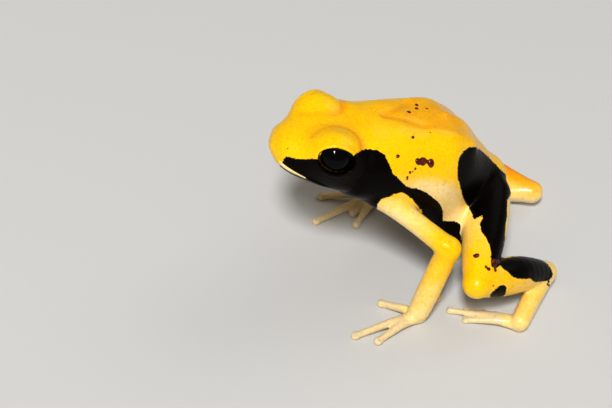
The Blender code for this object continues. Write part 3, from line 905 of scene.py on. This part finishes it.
class Value:
    def __init__(self, tree, socket):
        self.tree = tree
        self.socket = socket

    def node(self, kind, settings=None, output=0, **inputs):
        n = self.tree.nodes.new(kind)
        for key, setting in (settings or {}).items():
            setattr(n, key, setting)
        for key, value in inputs.items():
            name = int(key[1:]) if key[0] == "i" and key[1:].isdigit() else key.replace("_", " ")
            self.put(n.inputs[name], value)
        return Value(self.tree, n.outputs[output])

    def put(self, target, value):
        if isinstance(value, Value):
            self.tree.links.new(value.socket, target)
        else:
            target.default_value = value

    def math(self, operation, first, second):
        return self.node("ShaderNodeMath", {"operation": operation}, i0=first, i1=second)

    def __add__(self, other):
        return self.math("ADD", self, other)

    def __sub__(self, other):
        return self.math("SUBTRACT", self, other)

    def __rsub__(self, other):
        return self.math("SUBTRACT", other, self)

    def __mul__(self, other):
        return self.math("MULTIPLY", self, other)

    def __truediv__(self, other):
        return self.math("DIVIDE", self, other)

    def __rtruediv__(self, other):
        return self.math("DIVIDE", other, self)

    def __pow__(self, other):
        return self.math("POWER", self, other)

    def __neg__(self):
        return self.math("MULTIPLY", self, -1.0)

    __radd__ = __add__
    __rmul__ = __mul__

    def scaled(self, amount):
        return self.node("ShaderNodeVectorMath", {"operation": "SCALE"}, i0=self, Scale=amount)

    def fade(self, low, high):
        # 0 below low, 1 above high, smooth between; low may be above high
        return self.node("ShaderNodeMapRange", {"interpolation_type": "SMOOTHSTEP"}, Value=self,
                         From_Min=low, From_Max=high, To_Min=0.0, To_Max=1.0)

    def between(self, first, second):
        # this value picks from the first colour (0) to the second (1)
        return self.node("ShaderNodeMix", {"data_type": "RGBA"}, output=2, i0=self, i6=colour(first),
                         i7=colour(second))

    def noise(self, scale, detail, roughness):
        return self.node("ShaderNodeTexNoise", None, "Fac", Vector=self, Scale=scale, Detail=detail,
                         Roughness=roughness)

    def cells(self, scale, smoothness):
        return self.node("ShaderNodeTexVoronoi", {"feature": "SMOOTH_F1"}, "Distance", Vector=self,
                         Scale=scale, Smoothness=smoothness)


def colour(value):
    return value if isinstance(value, Value) else (*value, 1.0)


def sRgb(r, g, b):
    return tuple((c / 255 / 12.92) if c <= 10 else ((c / 255 + 0.055) / 1.055) ** 2.4 for c in (r, g, b))


def newMaterial(name, settings):
    m = bpy.data.materials.new(name)
    m.use_nodes = True
    shader = m.node_tree.nodes["Principled BSDF"]
    for key, value in settings.items():
        shader.inputs[key].default_value = value
    return m, m.node_tree, shader


def objectPlace(tree):
    # the piece's own coordinates in millimetres
    n = tree.nodes.new("ShaderNodeTexCoord")
    return Value(tree, n.outputs["Object"]).scaled(1 / mm)


def readAttribute(tree, name, output="Fac"):
    n = tree.nodes.new("ShaderNodeAttribute")
    n.attribute_name = name
    return Value(tree, n.outputs[output])


def bump(height, strength, distance):
    return height.node("ShaderNodeBump", None, "Normal", Height=height, Strength=strength,
                       Distance=distance)


skinLook = {
    "yellow": sRgb(255, 202, 0),
    # the colour of the painted shade, and of the mottle's orange tone
    "orange": sRgb(240, 132, 0),
    "cream": sRgb(248, 222, 158),
    "digit": sRgb(224, 204, 164),
    "black": sRgb(8, 5, 4),
    "edgeRaggedness": 0.22,        # millimetres
    "edgeWaves": ((1.6, (0.9, 2.0, 0.5)), (2.6, (3.2, 3.0, 0.7))),     # share of it, and its noise
    "granule": (2.6, 0.6),         # granules to a millimetre, how round
    "granuleHeight": 0.045,
    # painted shade: how much darker the grooves between the granules are painted
    "granuleShade": 0.22,
    "mottle": (0.6, 4.0, 0.65),
    "mottleTint": (0.25, 0.7),     # how far it shifts the orange and the cream
    "grain": (4.0, 3.0, 0.6),
    "grainShade": 0.24,
    "fine": (5.0, 3.0, 0.6),
    "roughness": (0.34, 0.3),      # in the middle, and how far it varies
    "pale": 0.75,
}
skinSettings = {
    "Subsurface Weight": 0.22,
    "Subsurface Radius": (1.0, 0.4, 0.08),
    "Subsurface Scale": 0.0012,
    "Coat Weight": 0.6,
    "Coat Roughness": 0.2,
    "Coat IOR": 1.33,
    "IOR": 1.38,
    "Specular IOR Level": 0.25,
}
blackSettings = {"Specular_IOR_Level": 0.07, "Coat_Weight": 0.035, "Coat_Roughness": 0.12, "IOR": 1.36}


def skinMaterial():
    m, tree, shader = newMaterial("moist_skin", skinSettings)
    place = objectPlace(tree)
    look = skinLook
    large, small = ((place.noise(*waves) - 0.5) * (share * look["edgeRaggedness"])
                    for share, waves in look["edgeWaves"])
    ragged = (large + small) * readAttribute(tree, "lip").fade(0.0, 0.5)
    isBlack = (readAttribute(tree, "black") + ragged).fade(0.05, -0.05)
    light = readAttribute(tree, "cream")
    warm = readAttribute(tree, "warm")
    mottle = place.noise(*look["mottle"]) - 0.5
    granules = place.cells(*look["granule"])
    onWarm, onLight = look["mottleTint"]
    # orange from the painted shade, and random tone from the mottle
    base = (warm + mottle * onWarm).fade(0.0, 1.0).between(look["yellow"], look["orange"])
    base = (light + mottle * onLight * light.fade(0.0, 0.3)).fade(0.05, 0.95).between(base, look["cream"])
    base = (readAttribute(tree, "pale") * look["pale"]).between(base, look["digit"])
    grain = (place.noise(*look["grain"]) - 0.5) * look["grainShade"]
    # the grain is random tone; the granules' edges, low in the bump, are painted darker as painted shade in
    # the grooves
    base = base.scaled(1.0 - grain - granules ** 3.0 * look["granuleShade"])
    tree.links.new(base.socket, shader.inputs["Base Color"])
    fine = place.noise(*look["fine"])
    middle, spread = look["roughness"]
    rough = middle + (fine - 0.5) * spread
    tree.links.new(rough.socket, shader.inputs["Roughness"])
    height = -(granules ** 2.0) * 1.4 + fine * 0.35
    normal = bump(height, 0.55, look["granuleHeight"] * mm)
    tree.links.new(normal.socket, shader.inputs["Normal"])
    dark = normal.node("ShaderNodeBsdfPrincipled", None, 0, Base_Color=colour(look["black"]),
                       Roughness=rough - 0.02, Normal=normal, **blackSettings)
    bright = Value(tree, shader.outputs["BSDF"])
    both = dark.node("ShaderNodeMixShader", None, 0, Fac=isBlack, i1=bright, i2=dark)
    output = next(n for n in tree.nodes if n.type == "OUTPUT_MATERIAL")
    tree.links.new(both.socket, output.inputs["Surface"])
    return m


skin.data.materials.append(skinMaterial())
print("skin painted")


# The eyes: a wet black ball with a thin gold edge to the iris

eyeLook = {
    "radius": pose["eyeRadius"] - 0.02,
    "rings": 48,
    "black": sRgb(6, 6, 8),
    "iris": sRgb(22, 18, 14),
    "gold": sRgb(120, 84, 30),
    "pupil": (0.88, 0.62),         # half length, half height, as shares of the radius
    "rim": (0.93, 1.0, 1.04, 1.14),    # where the gold starts, is full, thins and ends, in pupils
    "gilding": (0.08, 0.9),        # everywhere, and in its flecks
}
eyeSettings = {"Roughness": 0.04, "IOR": 1.36, "Specular IOR Level": 0.17}


def eyeMaterial():
    m, tree, shader = newMaterial("wet_eye", eyeSettings)
    at = readAttribute(tree, "onEye", "Vector")
    across = at.node("ShaderNodeSeparateXYZ", None, 0, Vector=at)
    upward = at.node("ShaderNodeSeparateXYZ", None, 1, Vector=at)
    a, b = eyeLook["pupil"]
    far = ((across / a) ** 2.0 + (upward / b) ** 2.0) ** 0.5
    start, full, thin, end = eyeLook["rim"]
    rim = far.fade(start, full) * far.fade(end, thin)
    fleck = at.noise(6.0, 2.0, 0.6).fade(0.45, 0.7) * upward.fade(0.1, -0.25)
    base = far.fade(0.98, 1.04).between(eyeLook["black"], eyeLook["iris"])
    least, more = eyeLook["gilding"]
    base = (rim * (least + fleck * more)).between(base, eyeLook["gold"])
    tree.links.new(base.socket, shader.inputs["Base Color"])
    return m


def eyeBall(side, material):
    # a ball whose pole looks along the eye's axis
    radius, rings = eyeLook["radius"], eyeLook["rings"]
    ball = bmesh.new()
    bmesh.ops.create_uvsphere(ball, u_segments=2 * rings, v_segments=rings, radius=radius)
    ball.verts.index_update()
    points = np.array([v.co[:] for v in ball.verts])
    faces = [[v.index for v in f.verts] for f in ball.faces]
    ball.free()
    ob = meshObject("wet_eye_" + sideWord[side], moved(points, eyeFrame(side)), faces)
    attribute(ob, "onEye", points / radius, "FLOAT_VECTOR")
    ob.data.materials.append(material)
    return ob


wetEye = eyeMaterial()
for side in (1, -1):
    eye = eyeBall(side, wetEye)
    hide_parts("eye_" + sideWord[side])
    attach(eye, "root")
print("eyes")


# Small domes that sit on the skin: the paired scutes of the digits, and the specks of damp earth

domes = {
    "scute": {"half": (0.36, 0.2, 0.13), "spread": 0.12, "seed": 7, "height": 1.62, "apart": 0.45,
              "forward": 0.15, "light": sRgb(226, 214, 190), "dark": sRgb(196, 178, 146)},
    "speck": {"half": (1.6, 1.25, 0.7), "spread": 0.25, "seed": 11, "turnSeed": 5,
              "window": 6.0, "depth": 1.5,         # pixels, millimetres
              "light": sRgb(112, 34, 14), "dark": sRgb(52, 16, 14)},
}
# specks of damp earth: where each shows in the photo (pixels) and its radius in millimetres
specks = ((421.5, 160.5, 0.4), (423.5, 163.5, 0.36), (418.8, 161.5, 0.3), (430, 164.5, 0.34),
          (431.8, 162.5, 0.22), (427, 163.2, 0.2), (415.2, 168, 0.12), (413, 171.2, 0.1),
          (410.4, 174, 0.13), (407.6, 177, 0.11), (405.8, 178.6, 0.1), (397.8, 156.2, 0.2),
          (410, 112.6, 0.24), (408.2, 112, 0.16), (415.8, 104.6, 0.18), (417.6, 107, 0.22),
          (427, 108.4, 0.12), (413.2, 137.4, 0.15), (431, 133, 0.08), (476, 256.5, 0.24),
          (474.8, 255, 0.16), (488.4, 268.6, 0.2), (486.8, 267, 0.16), (494.2, 263.8, 0.42),
          (497, 261, 0.32), (492.4, 260.4, 0.2), (495.2, 269.4, 0.24), (492.6, 286.4, 0.12),
          (288, 149, 0.08), (548.6, 282, 0.2), (549.2, 285.4, 0.2), (547.8, 284, 0.16))


def domeNodes(name, look, material):
    # instances a small dome on every point, turned and sized by the point's own attributes
    tree = bpy.data.node_groups.new(name, "GeometryNodeTree")
    for title, kind, direction in (("Geometry", "Geometry", "INPUT"), ("Size", "Float", "INPUT"),
                                   ("Uneven", "Float", "INPUT"), ("Seed", "Int", "INPUT"),
                                   ("Geometry", "Geometry", "OUTPUT")):
        tree.interface.new_socket(title, in_out=direction, socket_type="NodeSocket" + kind)
    start, end = tree.nodes.new("NodeGroupInput"), tree.nodes.new("NodeGroupOutput")
    given = {o.name: Value(tree, o) for o in start.outputs if o.name}
    dots = given["Geometry"].node("GeometryNodeMeshToPoints", None, 0, Mesh=given["Geometry"])
    radius = given["Size"]
    dome = radius.node("GeometryNodeMeshUVSphere", None, 0, Segments=20, Rings=12, Radius=radius)
    dome = dome.node("GeometryNodeTransform", None, 0, Geometry=dome, Scale=look["half"])
    turn = dots.node("GeometryNodeInputNamedAttribute", {"data_type": "FLOAT_VECTOR"}, 0, Name="turn")
    size = dots.node("GeometryNodeInputNamedAttribute", {"data_type": "FLOAT"}, 0, Name="size")
    spin = turn.node("FunctionNodeEulerToRotation", None, 0, Euler=turn)
    low, high = 1.0 - given["Uneven"], 1.0 + given["Uneven"]
    chance = size.node("FunctionNodeRandomValue", {"data_type": "FLOAT"}, 1, i2=low, i3=high,
                       Seed=given["Seed"])
    placed = dots.node("GeometryNodeInstanceOnPoints", None, 0, Points=dots, Instance=dome, Rotation=spin,
                       Scale=size * chance)
    real = placed.node("GeometryNodeRealizeInstances", None, 0, Geometry=placed)
    smooth = real.node("GeometryNodeSetShadeSmooth", None, 0, Geometry=real)
    done = smooth.node("GeometryNodeSetMaterial", None, 0, Geometry=smooth, Material=material)
    tree.links.new(done.socket, end.inputs["Geometry"])
    return tree


def domePiece(name, kind, places, directions, along, sizes, material):
    # each dome lies flat across its direction, its length along the given line
    dots = meshObject(name + "_dots", np.array(places), [])
    turns = []
    for out, line in zip(directions, along):
        out = Vector(out).normalized()
        line = (Vector(line) - out * out.dot(Vector(line))).normalized()
        turns.append(Matrix((line, out.cross(line), out)).transposed().to_euler())
    attribute(dots, "turn", np.array(turns), "FLOAT_VECTOR")
    attribute(dots, "size", np.array(sizes))
    look = domes[kind]
    step = dots.modifiers.new(name, "NODES")
    step.node_group = domeNodes(name, look, material)
    wanted = {"Size": mm, "Uneven": look["spread"], "Seed": look["seed"]}
    for item in step.node_group.interface.items_tree:
        if item.in_out == "INPUT" and item.name in wanted:
            step[item.identifier] = wanted[item.name]
    bpy.context.view_layer.update()
    graph = bpy.context.evaluated_depsgraph_get()
    mesh = bpy.data.meshes.new_from_object(dots.evaluated_get(graph))
    bpy.data.objects.remove(dots)
    ob = linked(name, mesh)
    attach(ob, "root")


def scutePlaces():
    # two side by side on top of each digit's tip
    places, directions, along = [], [], []
    look = domes["scute"]
    for side in (1, -1):
        for root, digits, size in (("wrist", "fingers", "fingerRadius"), ("heel", "toes", "toeRadius")):
            base, radius = limbs[side][root], flesh[size]
            for dx, dy in limbs[side][digits]:
                line = Vector((side * dx, dy, 0)).normalized()
                across = Vector((-line.y, line.x, 0))
                tip = Vector((base.x + side * dx, base.y + dy, radius * look["height"]))
                for half in (look["apart"], -look["apart"]):
                    places.append(tip + (across * half + line * look["forward"]) * radius)
                    directions.append(across * half + Vector((0, 0, 1)))
                    along.append(line)
    return places, directions, along


def scuteMaterial():
    m, tree, shader = newMaterial("pale_scute", {"Roughness": 0.25, "IOR": 1.4})
    look = domes["scute"]
    base = objectPlace(tree).noise(3.0, 2.0, 0.5).fade(0.3, 0.7).between(look["light"], look["dark"])
    tree.links.new(base.socket, shader.inputs["Base Color"])
    return m


def speckPlaces():
    # the nearest skin to the camera at each pixel
    look = domes["speck"]
    spots = inPhoto(skinPoints)
    away = (skinPoints - np.array(photoCamera["place"])) @ np.array(photoCamera["forward"])
    normals = skinNormals()
    rows = []
    for u, v, radius in specks:
        off = np.hypot(spots[:, 0] - u, spots[:, 1] - v)
        near = np.flatnonzero(off < look["window"])
        front = near[away[near] < away[near].min() + look["depth"]]
        rows.append(front[np.argmin(off[front])])
    return skinPoints[rows], normals[rows]


def speckMaterial():
    m, tree, shader = newMaterial("damp_earth", {"Roughness": 0.14, "IOR": 1.4})
    place, look = objectPlace(tree), domes["speck"]
    base = place.noise(2.2, 3.0, 0.6).fade(0.35, 0.65).between(look["light"], look["dark"])
    tree.links.new(base.socket, shader.inputs["Base Color"])
    tree.links.new(bump(place.noise(4.0, 3.0, 0.6), 0.6, 0.1 * mm).socket, shader.inputs["Normal"])
    return m


places, directions = speckPlaces()
turns = np.random.default_rng(domes["speck"]["turnSeed"]).normal(size=places.shape)
domePiece("earth_specks", "speck", places, directions, turns, [row[2] for row in specks], speckMaterial())
print("specks", len(places))
places, directions, along = scutePlaces()
domePiece("digit_scutes", "scute", places, directions, along, [1.0] * len(places), scuteMaterial())
print("scutes", len(places))

fleshNodes = ["head", "lower_jaw", "torso"]
for part in ("upper_arm", "forearm", "hand", "thigh", "shank", "tarsus", "foot"):
    fleshNodes += [part + "_left", part + "_right"]
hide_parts(*fleshNodes)
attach(skin, "root")


# The floor, the light and the picture's camera

stageLook = {
    "floor": sRgb(206, 206, 206),
    "floorSize": 8.0,
    "world": sRgb(238, 229, 212),
    "worldStrength": 0.28,
    "gamma": 0.86,
}


def plainFloor():
    bpy.ops.mesh.primitive_plane_add(size=stageLook["floorSize"])
    floor = bpy.context.object
    floor.name = "floor"
    settings = {"Roughness": 0.75, "Base Color": colour(stageLook["floor"])}
    floor.data.materials.append(newMaterial("pale_floor", settings)[0])


lamps = {
    # place, size and watts; all aim at the middle of the frog (metres)
    "key": ((0.90, -0.70, 1.45), 0.28, 28.0),
    "front": ((0.70, -0.48, 0.86), 0.12, 3.4),
    "back": ((-0.40, 1.40, 1.40), 1.4, 5.5),
}
lampAim = (0.0, -0.004, 0.014)


def addLamps():
    for name, (place, size, watts) in lamps.items():
        light = bpy.data.lights.new(name, "AREA")
        light.shape = "DISK"
        light.size = size
        light.energy = watts
        ob = linked(name, light)
        ob.location = place
        ob.rotation_euler = (Vector(lampAim) - Vector(place)).to_track_quat("-Z", "Y").to_euler()
    world = bpy.data.worlds.new("soft_room")
    world.use_nodes = True
    sky = world.node_tree.nodes["Background"]
    sky.inputs["Color"].default_value = colour(stageLook["world"])
    sky.inputs["Strength"].default_value = stageLook["worldStrength"]
    bpy.context.scene.world = world
    bpy.context.scene.view_settings.view_transform = "Standard"
    bpy.context.scene.view_settings.gamma = stageLook["gamma"]


def photoView():
    data = bpy.data.cameras.new("photo_camera")
    camera = linked("photo_camera", data)
    right, up, forward = (Vector(photoCamera[k]) for k in ("right", "up", "forward"))
    camera.matrix_world = axesFrame(right, up, -forward, Vector(photoCamera["place"]) * mm + planShift)
    data.sensor_width = photoCamera["sensor"]
    data.lens = photoCamera["focal"] * photoCamera["sensor"] / (2 * photoCamera["middle"][0])
    data.clip_start = photoCamera["clipStart"]
    bpy.context.scene.camera = camera


plainFloor()
addLamps()
photoView()
bpy.context.view_layer.update()
